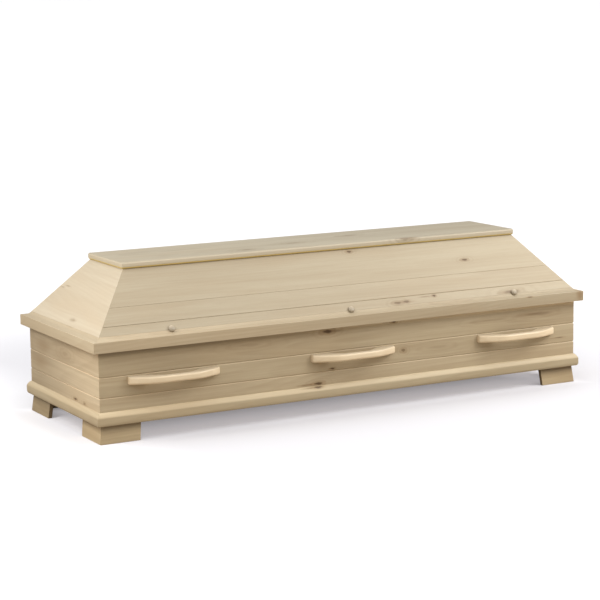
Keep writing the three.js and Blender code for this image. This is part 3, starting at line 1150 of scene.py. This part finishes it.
@dataclass
class Grips:
    """The bowed grips: each is thick in the middle, arches clear of the wall and is flat at its ends."""

    plan: Plan
    length: float = 346 * MM
    centre_height: float = 214.5 * MM
    end_height: float = 29 * MM
    middle_height: float = 26 * MM
    proud: float = 56 * MM
    end_depth: float = 16 * MM
    hand_depth: float = 36 * MM
    arch_start: float = 0.3
    hand_end: float = 0.66
    hand_full: float = 0.25
    corner: float = 8 * MM
    back_corner: float = 2 * MM
    end_round: float = 4 * MM
    end_turn: tuple[float, float, int] = (15, 85, 6)
    stations: int = 64
    front_points: int = 8
    back_points: int = 4
    slot: str = "grip_beech"

    def grid(self, centre_x: float, side: Side) -> np.ndarray:
        """A grip's surface over the place along it and the turn round its section.

        The front's depth off the wall is 16 + 40 cos(arch) millimetres, where arch goes from 0 at 0.3 of
        the half length to a right angle at the end. The back's is 36 times a smooth step that ends at
        0.66. The section is a block between them with round corners, and both ends round over.

        Args:
            centre_x: the middle of the grip.
            side: the long side that it is on.

        Returns:
            Points of shape (stations, points round, 3).
        """
        half = self.length / 2
        bulk = np.linspace(-(half - self.end_round), half - self.end_round, self.stations)
        turn = np.radians(np.linspace(*self.end_turn))
        tip = half - self.end_round * (1 - np.sin(turn))
        x = np.concatenate([-tip[::-1], bulk, tip])[:, None]
        share = np.abs(x) / half
        arch = np.clip((share - self.arch_start) / (1 - self.arch_start), 0, 1)
        front = self.end_depth + (self.proud - self.end_depth) * np.cos(arch * math.pi / 2)
        back = self.hand_depth * smoothstep((self.hand_end - share) / (self.hand_end - self.hand_full))
        cut = np.maximum(0, np.abs(x) - (half - self.end_round))
        trim = self.end_round - np.sqrt(self.end_round**2 - cut**2)
        high = (self.middle_height + (self.end_height - self.middle_height) * share**2) / 2 - trim
        out = front - trim
        round_front = np.minimum(self.corner, out - back - self.back_corner)
        counts = (self.front_points, self.back_points, self.back_points, self.front_points)
        quarters = [np.linspace(90 * step, 90 * (step + 1), count) for step, count in enumerate(counts)]
        angle = np.radians(np.concatenate(quarters))
        is_front = np.repeat([True, False, False, True], counts)
        is_top = np.repeat([True, True, False, False], counts)
        radius = np.where(is_front, round_front, self.back_corner)
        depth_middle = np.where(is_front, out - radius, back + radius)
        height_middle = np.where(is_top, high - radius, radius - high)
        depth = depth_middle + radius * np.cos(angle)
        height = height_middle + radius * np.sin(angle)
        wall_face = self.plan.half_width - self.plan.wall_inset
        y = side.sign * (wall_face + depth)
        z = self.centre_height + height
        return np.stack([np.broadcast_to(centre_x + x, depth.shape), y, z], axis=2)

    def build(self, finish: Material) -> None:
        """Builds the six grips.

        Args:
            finish: their beech.
        """
        for side in LONG_SIDES:
            for place in Place:
                node = f"{side.word}_{place.value}_grip"
                low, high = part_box(node)
                piece = tube(f"{side.word}_{place.value}_bowed_grip", self.grid((low.x + high.x) / 2, side))
                stand_for(piece, node, finish)


@dataclass
class Buttons:
    """The turned buttons on the long slopes: a short spigot under a domed cap."""

    lid: Lid
    radius: float = 12.5 * MM
    foot_radius: float = 10.5 * MM
    neck_radius: float = 4.5 * MM
    neck_height: float = 1.5 * MM
    rim_height: float = 3.5 * MM
    rim_round: float = 2 * MM
    height: float = 11 * MM
    up_slope: float = 3 * MM
    gap: float = 0.3 * MM
    sides: int = 48
    dome_end: float = 88
    dome_steps: int = 16
    rim_steps: int = 5
    slot: str = "button_beech"

    def profile(self) -> np.ndarray:
        """The button's profile: the spigot, a rounded rim, and a quarter ellipse up to near the axis.

        Returns:
            Its points, as radius and height.
        """
        dome_radii = (self.radius, self.height - self.rim_height)
        dome = arc((0, self.rim_height), dome_radii, 0, self.dome_end, self.dome_steps)
        rim_radii = (self.radius - self.foot_radius, self.rim_round)
        under = arc((self.foot_radius, self.rim_height), rim_radii, 270, 360, self.rim_steps)
        neck = [(self.neck_radius, 0), (self.neck_radius, self.neck_height)]
        return np.vstack([neck, under[:-1], dome])

    def build(self, finish: Material) -> None:
        """Builds the six buttons, each spun about the slope's own normal.

        Args:
            finish: their beech.
        """
        lid = self.lid
        inset, height = lid.on_slope(lid.plan.crease, 0, self.up_slope)
        radius, rise = self.profile().T[:, :, None, None]
        angle = np.linspace(0, 2 * math.pi, self.sides, endpoint=False)[:, None]
        for side in LONG_SIDES:
            normal = np.array([0, -side.sign * lid.slope_out[0], lid.slope_out[1]])
            level = np.array(X_AXIS)
            spoke = np.cos(angle) * level + np.sin(angle) * np.cross(normal, level)
            for place in Place:
                node = f"{side.word}_{place.value}_lid_button"
                low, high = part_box(node)
                foot = np.array([(low.x + high.x) / 2, side.sign * (lid.plan.half_width - inset), height])
                grid = foot + normal * self.gap + radius * spoke + rise * normal
                piece = tube(f"{side.word}_{place.value}_button", grid)
                stand_for(piece, node, finish)


@dataclass(frozen=True)
class Lamp:
    """A light: where it stands, what it faces, how wide it is (an angle for the open sky), its strength."""

    name: str
    kind: LampKind
    place: Point
    target: Point
    width: float
    power: float


@dataclass(frozen=True)
class FloorPaint:
    """The stage floor's matt white, greyer near the coffin as painted shade, with its shadow made paler by a
    painted glow.

    near_reach holds how far from the middle the painted grey goes over to white, and left_reach and
    left_share do the same towards the left end, where the floor is painted lighter. bounce is the colour
    that the floor throws back at the coffin. lift is a painted glow, light given off where the camera sees
    the floor near the coffin, and deep_lift the share of it under the middle. Both die away by the distance
    past a rectangle of half sizes shadow_half, over lift_edge and deep_edge.
    """

    white: Colour = (0.95, 0.945, 0.965)
    near: Colour = (0.648, 0.640, 0.662)
    near_reach: tuple[float, float] = (1.3, 2.7)
    left_reach: tuple[float, float] = (-1.15, -0.7)
    left_share: float = 0.65
    bounce: Colour = (0.42, 0.36, 0.29)
    painted_glow: Colour = (0.40, 0.385, 0.40)
    deep_lift: float = 0.55
    shadow_half: tuple[float, float] = (1.013, 0.336)
    lift_edge: tuple[float, float] = (-0.11, 0.06)
    deep_edge: tuple[float, float] = (-0.336, -0.1)
    roughness: float = 0.9
    specular: float = 0.1

    def material(self) -> Material:
        """Draws the material.

        Returns:
            The material.
        """
        s = Sketch("white_floor")
        seen = s.tree.nodes.new("ShaderNodeLightPath").outputs["Is Camera Ray"]
        # Painted shade: the floor is greyer near the coffin; painted light: it is whiter towards the left
        # end.
        far = s.ramp(s.vector("LENGTH", s.coordinates), *self.near_reach)
        left = s.ramp(s.part(s.coordinates, X_AXIS), *self.left_reach, self.left_share, 0)
        white = s.mix(s.math("MAXIMUM", far, left), self.near, self.white)
        s.join(s.mix(seen, self.bounce, white), s.shader.inputs["Base Color"])
        # A painted glow: light added only to what the camera sees, strongest just inside the coffin's
        # outline, less under its middle, none past it.
        reach = s.vector("ABSOLUTE", s.vector("MULTIPLY", s.coordinates, (1, 1, 0)))
        reach = s.vector("SUBTRACT", reach, (*self.shadow_half, 0))
        beyond = s.math("MAXIMUM", s.part(reach, X_AXIS), s.part(reach, Y_AXIS))
        deep = s.ramp(beyond, *self.deep_edge, self.deep_lift, 1)
        painted_glow = s.math("MULTIPLY", s.ramp(beyond, *self.lift_edge, 1, 0), deep)
        painted_glow = s.mix(s.math("MULTIPLY", seen, painted_glow), (0.0, 0.0, 0.0), self.painted_glow)
        s.join(painted_glow, s.shader.inputs["Emission Color"])
        s.shader.inputs["Emission Strength"].default_value = 1.0
        s.shader.inputs["Roughness"].default_value = self.roughness
        s.shader.inputs["Specular IOR Level"].default_value = self.specular
        return s.material


@dataclass
class Studio:
    """A white floor, soft light from overhead and two sides, and the photograph's camera.

    Angles are in degrees. The focal length is a share of the picture's width, both in pixels.
    """

    eye: Point = (-3.452, -6.201, 1.5445)
    yaw: float = 28.826
    pitch: float = 9.410
    roll: float = -0.683
    focal_share: float = 1903.6 / 600
    sensor: float = 36.0
    sight: float = 1000.0
    floor_size: float = 400.0
    floor_drop: float = 0.5 * MM
    paint: FloorPaint = FloorPaint()
    fill_light: float = 0.395
    lamps: tuple[Lamp, ...] = (
        Lamp("overhead", LampKind.OPEN_SKY, (-0.1, -0.1, 1.0), (0.0, 0.0, 0.0), math.radians(110), 2.3),
        Lamp("right_front", LampKind.DISC, (3.0, -2.3, 2.7), (0.3, 0.0, 0.3), 2.4, 120.0),
        Lamp("left_side", LampKind.DISC, (-2.2, -0.35, 1.25), (-1.0, -0.2, 0.3), 0.9, 16.0),
    )

    def build(self) -> None:
        """Builds the camera, the floor, the lamps and the world, and shows colours as they are."""
        self.build_camera()
        self.build_floor()
        self.build_lamps()
        self.build_world()
        bpy.context.scene.view_settings.view_transform = "Standard"

    def build_camera(self) -> None:
        """Sets the camera: it looks yaw to the right of +Y and pitch down, and is rolled a little."""
        yaw, pitch, roll = (math.radians(a) for a in (self.yaw, self.pitch, self.roll))
        ahead = Vector((math.sin(yaw) * math.cos(pitch), math.cos(yaw) * math.cos(pitch), -math.sin(pitch)))
        level = Vector((math.cos(yaw), -math.sin(yaw), 0))
        upright = level.cross(ahead)
        right = level * math.cos(roll) + upright * math.sin(roll)
        up = upright * math.cos(roll) - level * math.sin(roll)
        data = bpy.data.cameras.new("camera")
        data.sensor_width = self.sensor
        data.lens = self.sensor * self.focal_share
        data.clip_end = self.sight
        camera = bpy.data.objects.new("camera", data)
        turn = Matrix((right, up, -ahead)).transposed()
        camera.matrix_world = Matrix.Translation(self.eye) @ turn.to_4x4()
        bpy.context.scene.collection.objects.link(camera)
        bpy.context.scene.camera = camera

    def build_floor(self) -> None:
        """Lays a wide flat floor, a hair under the feet."""
        half, low = self.floor_size / 2, -self.floor_drop
        corners = [(-half, -half, low), (half, -half, low), (half, half, low), (-half, half, low)]
        mesh = bpy.data.meshes.new("floor")
        mesh.from_pydata(corners, [], [(0, 1, 2, 3)])
        mesh.materials.append(self.paint.material())
        floor = bpy.data.objects.new("floor", mesh)
        bpy.context.scene.collection.objects.link(floor)

    def build_lamps(self) -> None:
        """Hangs the lamps, each turned to face its target."""
        for lamp in self.lamps:
            data = bpy.data.lights.new(lamp.name, lamp.kind.value)
            data.energy = lamp.power
            if lamp.kind is LampKind.OPEN_SKY:
                data.angle = lamp.width
            else:
                data.shape = "DISK"
                data.size = lamp.width
            light = bpy.data.objects.new(lamp.name, data)
            aim = (Vector(lamp.target) - Vector(lamp.place)).to_track_quat("-Z", "Y")
            light.matrix_world = Matrix.Translation(lamp.place) @ aim.to_matrix().to_4x4()
            bpy.context.scene.collection.objects.link(light)

    def build_world(self) -> None:
        """Fills the shade with an even white world, which the camera sees as plain white."""
        world = bpy.data.worlds.new("white_room")
        world.use_nodes = True
        tree = world.node_tree
        shade, seen = tree.nodes["Background"], tree.nodes.new("ShaderNodeBackground")
        for background in (shade, seen):
            background.inputs["Color"].default_value = (1.0, 1.0, 1.0, 1.0)
        shade.inputs["Strength"].default_value = self.fill_light
        path = tree.nodes.new("ShaderNodeLightPath")
        blend = tree.nodes.new("ShaderNodeMixShader")
        tree.links.new(path.outputs["Is Camera Ray"], blend.inputs[0])
        tree.links.new(shade.outputs[0], blend.inputs[1])
        tree.links.new(seen.outputs[0], blend.inputs[2])
        tree.links.new(blend.outputs[0], tree.nodes["World Output"].inputs["Surface"])
        bpy.context.scene.world = world


# The mean colour of each kind of piece; a pair is light and dark.
WALL = (0.438, 0.357, 0.233)
# Painted light: the lowest course of the long walls is lighter, as the floor's bounce lights it.
LIT_LOW_WALL = (0.471, 0.385, 0.254)
END_WALL = (0.492, 0.399, 0.267)
MOULDING = (0.456, 0.377, 0.247)
FOOT = (0.434, 0.340, 0.206)
RIM = (0.499, 0.411, 0.278)
FRONT_SLOPE = (0.411, 0.348, 0.243)
END_SLOPE = (0.542, 0.470, 0.350)
TOP = (0.367, 0.325, 0.240)
# Painted light: the top board's rounded edge is lighter than its face, where the front light falls on it.
TOP_EDGE_LIGHT = (0.483, 0.414, 0.299)
# Painted warm bounce light in the shade under the top board's edge.
TOP_UNDER_BOUNCE = (0.620, 0.470, 0.155)
FLOOR = (0.55, 0.43, 0.28)
GRIP_TONES = ((0.75, 0.61, 0.418), (0.675, 0.535, 0.352))
BUTTON_TONES = ((0.36, 0.30, 0.215), (0.30, 0.245, 0.17))

# The knots of each board. Those on the front, the left end and the top are where the photograph has them.
FRONT_WALL_KNOTS: CourseKnots = {
    Course.UPPER: (
        Knot((-104, -321, 306), 24, 9, 0.95, tail=60, tail_dark=0.5),
        Knot((838, -321, 284), 70, 10, 0.3, bulge=0.3, tail=-100, tail_dark=0.5, swirl=0.2),
        Knot((177, -321, 315), 12, 4.5, 1.0),
        Knot((-420, -321, 289), 60, 9, 0.1, bulge=0.8, swirl=0.17),
        Knot((628, -321, 279), 70, 7, 0.1, bulge=0.6, tail=-120, tail_dark=0.25, swirl=0.2),
    ),
    Course.MIDDLE: (
        Knot((218, -321, 204.5), 11, 8, 0.7, ring=0.2),
        Knot((371, -321, 201), 60, 9, 0.1, bulge=0.8, swirl=0.16),
        Knot((930, -321, 181), 26, 3, 0.5, tail=-70, tail_dark=0.4, swirl=0.0),
        Knot((-85, -321, 168), 11, 4.5, 1.0, tail=-20, swirl=0.0),
    ),
    Course.LOWER: (
        Knot((-85, -321, 165), 9, 4.5, 1.0, tail=-20),
        Knot((-144, -321, 119), 22, 7, 1.0, tail=-95, tail_dark=0.8),
    ),
}
LEFT_WALL_KNOTS: CourseKnots = {
    Course.UPPER: (
        Knot((-999, -20, 268), 34, 12, 0.1, bulge=0.8, swirl=0.22),
        # A broad darker patch over the back half: darker wood and painted shade.
        Knot((-999, 190, 262), 190, 50, 0.0, bulge=0.0, tail=1, tail_dark=0.42, swirl=0.0),
    ),
    # The same broad darker patch on the middle course: darker wood and painted shade.
    Course.MIDDLE: (Knot((-999, 230, 200), 200, 45, 0.0, bulge=0.0, tail=1, tail_dark=0.35, swirl=0.0),),
    Course.LOWER: (
        Knot((-999, -105, 121.5), 15, 5, 0.95, tail=24),
        Knot((-999, -186, 119), 11, 6, 0.6, ring=0.5),
    ),
}
BACK_WALL_KNOTS: CourseKnots = {
    Course.UPPER: (
        Knot((-560, 321, 292), 13, 7, 0.9, tail=50, tail_dark=0.4),
        Knot((310, 321, 283), 20, 6, 0.6, tail=-60, tail_dark=0.35, swirl=0.2),
    ),
    Course.MIDDLE: (
        Knot((-250, 321, 198), 60, 10, 0.1, bulge=0.8, swirl=0.16),
        Knot((810, 321, 205), 9, 6, 0.9, ring=0.2),
    ),
    Course.LOWER: (Knot((140, 321, 135), 16, 7, 0.9, tail=-40),),
}
RIGHT_WALL_KNOTS: CourseKnots = {
    Course.UPPER: (Knot((999, 120, 285), 12, 6, 0.8, tail=30),),
    Course.LOWER: (Knot((999, -140, 130), 15, 7, 0.6, ring=0.4),),
}
WALL_KNOTS = {Side.FRONT: FRONT_WALL_KNOTS, Side.LEFT: LEFT_WALL_KNOTS, Side.BACK: BACK_WALL_KNOTS,
              Side.RIGHT: RIGHT_WALL_KNOTS}
FRONT_SLOPE_KNOTS: CourseKnots = {
    Course.UPPER: (
        Knot((85.6, -154, 563.5), 12, 6, 0.95, tail=50, tail_dark=0.25),
        Knot((566, -206, 501), 15, 6, 0.9, tail=-30, tail_dark=0.3),
    ),
    Course.MIDDLE: (),
    Course.LOWER: (
        Knot((203, -307, 381), 19, 7.5, 0.6, tail=80, tail_dark=0.4, swirl=0.3),
        Knot((241, -306, 383), 16, 7, 0.65, tail=-80, tail_dark=0.35, swirl=0.0),
        Knot((368, -298, 392.5), 9, 5.5, 0.95, tail=-75, tail_dark=0.6),
        Knot((715, -310, 378), 44, 12, 0.5, tail=-60, tail_dark=0.4, swirl=0.2),
        # A long thin stain: painted warm shade along the slope's lower joint.
        Knot((-520, -280, 413.5), 300, 4, 0.0, bulge=0.0, tail=1, tail_dark=0.8, swirl=0.0),
    ),
}
LEFT_SLOPE_KNOTS = (
    Knot((-977, -41, 391), 26, 9, 0.2, bulge=0.2, tail=-30, tail_dark=0.35, swirl=0.0),
    Knot((-904, 169, 478), 24, 3, 0.35, swirl=0.0),
    Knot((-910, 205, 470), 20, 3, 0.3, swirl=0.0),
)
BACK_SLOPE_KNOTS: CourseKnots = {
    Course.UPPER: (Knot((-330, 165, 550), 14, 7, 0.9, tail=40, tail_dark=0.3),),
    Course.MIDDLE: (Knot((420, 228, 475), 12, 6, 0.8, tail=-30, tail_dark=0.3),),
    Course.LOWER: (Knot((-120, 300, 390), 24, 8, 0.5, tail=60, tail_dark=0.35, swirl=0.2),),
}
SLOPE_KNOTS: dict[Side, CourseKnots] = {
    Side.FRONT: FRONT_SLOPE_KNOTS,
    Side.BACK: BACK_SLOPE_KNOTS,
    Side.LEFT: {Course.MIDDLE: LEFT_SLOPE_KNOTS},
    Side.RIGHT: {Course.MIDDLE: (Knot((905, 60, 475), 14, 8, 0.7, tail=30, tail_dark=0.3),)},
}
RAIL_KNOTS: dict[tuple[Rail, Side], Knots] = {
    (Rail.RIM, Side.FRONT): (
        Knot((772, -347, 358), 15, 2.5, 0.8, bulge=0.2, swirl=0.0),
        Knot((1007, -347, 345), 44, 44, 0.0, bulge=0.0, tail=1, tail_dark=0.75, swirl=0.0),
    ),
    (Rail.MOULDING, Side.FRONT): (
        Knot((-150, -328, 108), 22, 6, 0.9, tail=-70, tail_dark=0.6, swirl=0.0),
    ),
    (Rail.RIM, Side.LEFT): (
        Knot((-988, -64, 376), 26, 9, 0.3, tail=-25, tail_dark=0.4, swirl=0.0),
        Knot((-985, -258, 379), 13, 1.8, 0.85, bulge=0.2, swirl=0.0),
    ),
}
TOP_KNOTS = (
    Knot((-314, -103, 596), 26, 10, 0.5, tail=60, tail_dark=0.4),
    Knot((-87, -37, 596), 36, 14, 0.25, swirl=0.2),
    Knot((198, 31, 596), 44, 20, 0.25, tail=-80, tail_dark=0.25, swirl=0.2),
    Knot((330, -150, 594), 26, 10, 0.5, ring=0.2, tail=60, tail_dark=0.8),
)


def wall_finishes(plan: Plan) -> dict[tuple[Side, Course], Material]:
    """The pine of each wall board; just under the rim, painted shadow at one end and painted light at the
    other.

    Args:
        plan: the coffin's plan.

    Returns:
        A material for each side and course.
    """
    finishes = {}
    rim_shade_heights = (plan.rim_low - 24 * MM, plan.rim_low - 6 * MM)
    for turn, side in enumerate(Side):
        for step, course in enumerate(Course):
            # Painted light and shade: the colour changes along each board's grain, and in a strip just under
            # the rim.
            if side.long:
                look = {"tone": LIT_LOW_WALL if course is Course.LOWER else WALL, "grain": Grain.ALONG_X,
                        "contrast": 0.12, "fade": (0.98, 0.95, 1.0), "band": (*rim_shade_heights, 0.62, 1.75)}
            else:
                look = {"tone": END_WALL, "grain": Grain.ALONG_Y, "fade": (1.14, 0.81, 0.33),
                        "band": (*rim_shade_heights, 1.1, 0.9)}
            # Faces that look up, the shoulders at the grooves, take a painted highlight.
            finishes[side, course] = Pine(
                f"pine_{side.word}_wall_{course.value}", seed=1.3 + turn * 3 + step,
                upward=(0.15, 0.45, 1.3), pith=(-0.27, 0.11 + 0.08 * step),
                knots=WALL_KNOTS[side].get(course, ()), **look).material()
    return finishes


def slope_finishes() -> dict[tuple[Side, Course], Material]:
    """The pine of each board on the lid's slopes, with light and shade painted along each board.

    Returns:
        A material for each side and course.
    """
    finishes = {}
    for turn, side in enumerate(Side):
        for step, course in enumerate(Course if side.long else (Course.MIDDLE,)):
            finishes[side, course] = Pine(
                f"pine_{side.word}_slope_{course.value}", FRONT_SLOPE if side.long else END_SLOPE,
                seed=20.7 + turn * 3 + step, contrast=0.07, rings=0.2, pith=(-0.2, 0.33 + 0.07 * step),
                fade=(0.96, 1.02, 1.0) if side.long else (1.02, 1.0, 0.33),
                grain=Grain.ALONG_X if side.long else Grain.ALONG_Y,
                knots=SLOPE_KNOTS[side].get(course, ())).material()
    return finishes


def rail_finishes(rail: Rail, tone: Colour, seed: float, upward: tuple[float, float, float],
                  fade: tuple[float, float, float]) -> dict[Side, Material]:
    """The pine of four rails round the plan, with light and shade painted on faces that look up and along
    each rail.

    Args:
        rail: the kind of rail.
        tone: the pine's mean colour.
        seed: where the first rail's pattern starts.
        upward: the painted light and shade on faces that look up.
        fade: the painted light and shade along the long rails.

    Returns:
        A material for each side.
    """
    return {side: Pine(f"pine_{side.word}_{rail.value}", tone, seed=seed + turn, contrast=0.09,
                       upward=upward, fade=fade if side.long else (0.96, 0.92, 0.35),
                       grain=Grain.ALONG_X if side.long else Grain.ALONG_Y,
                       knots=RAIL_KNOTS.get((rail, side), ())).material()
            for turn, side in enumerate(Side)}


def foot_finishes() -> dict[Grain, Material]:
    """The pine of the foot boards: painted shadow under the moulding, and darker end grain, partly painted
    shade.

    Returns:
        A material for the boards along each axis.
    """
    # For each grain: the painted light along the board, and the factors of the painted shadow strip under
    # the moulding at its two ends.
    looks = {
        Grain.ALONG_X: ((0.99, 0.97, 1.0), (0.66, 0.66)),
        Grain.ALONG_Y: ((1.16, 0.86, 0.3), (0.82, 0.7)),
    }
    return {grain: Pine(f"pine_foot_{grain.name.lower()}", FOOT, seed=41.0, grain=grain, fade=fade,
                        band=(28 * MM, 62 * MM, *ends), end_factor=0.4).material()
            for grain, (fade, ends) in looks.items()}


def main() -> None:
    """Builds the coffin's pieces and the studio."""
    logging.basicConfig(level=logging.INFO, format="%(name)s %(message)s")
    plan = Plan.from_frame()
    lid = Lid(plan)
    Studio().build()
    Walls(plan).build(wall_finishes(plan), Pine("pine_floor", FLOOR, seed=9.0).material())
    # The moulding's shoulder takes a painted highlight, and the moulding is painted darker towards its right
    # end.
    BaseMoulding(plan).build(rail_finishes(Rail.MOULDING, MOULDING, seed=31.2, upward=(0.15, 0.45, 1.27),
                                           fade=(1.01, 0.90, 1.0)))
    Feet(plan).build(foot_finishes())
    # The rim's flat top takes painted shade, and the rim is painted darker towards its right end.
    lid.build_rims(rail_finishes(Rail.RIM, RIM, seed=51.4, upward=(0.65, 0.92, 0.89),
                                 fade=(0.96, 0.76, 1.0)))
    lid.build_slopes(slope_finishes())
    # The top board is painted lighter towards its left end; its edge takes painted light and its underside
    # painted warm bounce light.
    lid.build_top(Pine("pine_top", TOP, seed=63.0, contrast=0.12, edge=TOP_EDGE_LIGHT, under=TOP_UNDER_BOUNCE,
                       fade=(1.10, 0.96, 1.0), knots=TOP_KNOTS).material())
    # The grips keep painted shade on their tops, and the buttons take painted light on theirs.
    Grips(plan).build(Beech("beech_grip", *GRIP_TONES).material())
    Buttons(lid).build(Beech("beech_button", *BUTTON_TONES, seed=2.0, top_factor=1.3).material())


if __name__ == "__main__":
    main()
